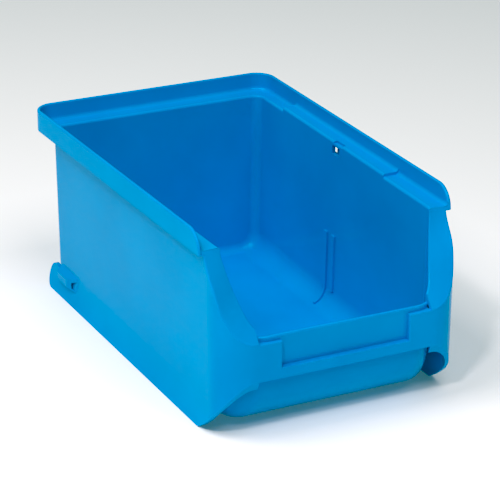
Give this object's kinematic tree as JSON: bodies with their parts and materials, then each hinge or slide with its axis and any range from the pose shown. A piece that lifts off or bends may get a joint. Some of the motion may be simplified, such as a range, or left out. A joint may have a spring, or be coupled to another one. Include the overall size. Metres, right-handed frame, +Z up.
{
  "type": "stackable storage bin",
  "caption": "Open-front stacking bin moulded in blue plastic, with a scoop front, label recess, stacking rim and foot skirts.",
  "frame": {"origin": "middle of the footprint at the resting plane", "axes": "+X to the right seen from the front, +Y from the front panel to the rear rim, +Z up"},
  "size_m": [0.102, 0.164, 0.075],
  "materials": {
    "body": "satin moulded"
  },
  "bodies": {
    "root": {"back_wall": "body", "divider_guide_left": "body", "divider_guide_right": "body", "floor_pan": "body", "front_cheek_left": "body", "front_cheek_right": "body", "front_corner_left": "body", "front_corner_right": "body", "front_wall": "body", "label_post_left": "body", "label_post_right": "body", "label_sill": "body", "ledge_back": "body", "ledge_front_left": "body", "ledge_front_right": "body", "rim_band_back": "body", "rim_band_left": "body", "rim_band_right": "body", "scoop_flange_left": "body", "scoop_flange_right": "body", "side_skin_left": "body", "side_skin_right": "body", "side_wall_left": "body", "side_wall_right": "body", "skirt_left": "body", "skirt_right": "body", "stacking_lug_left": "body", "stacking_lug_right": "body", "stacking_rail_left": "body", "stacking_rail_right": "body"}
  },
  "joints": []
}
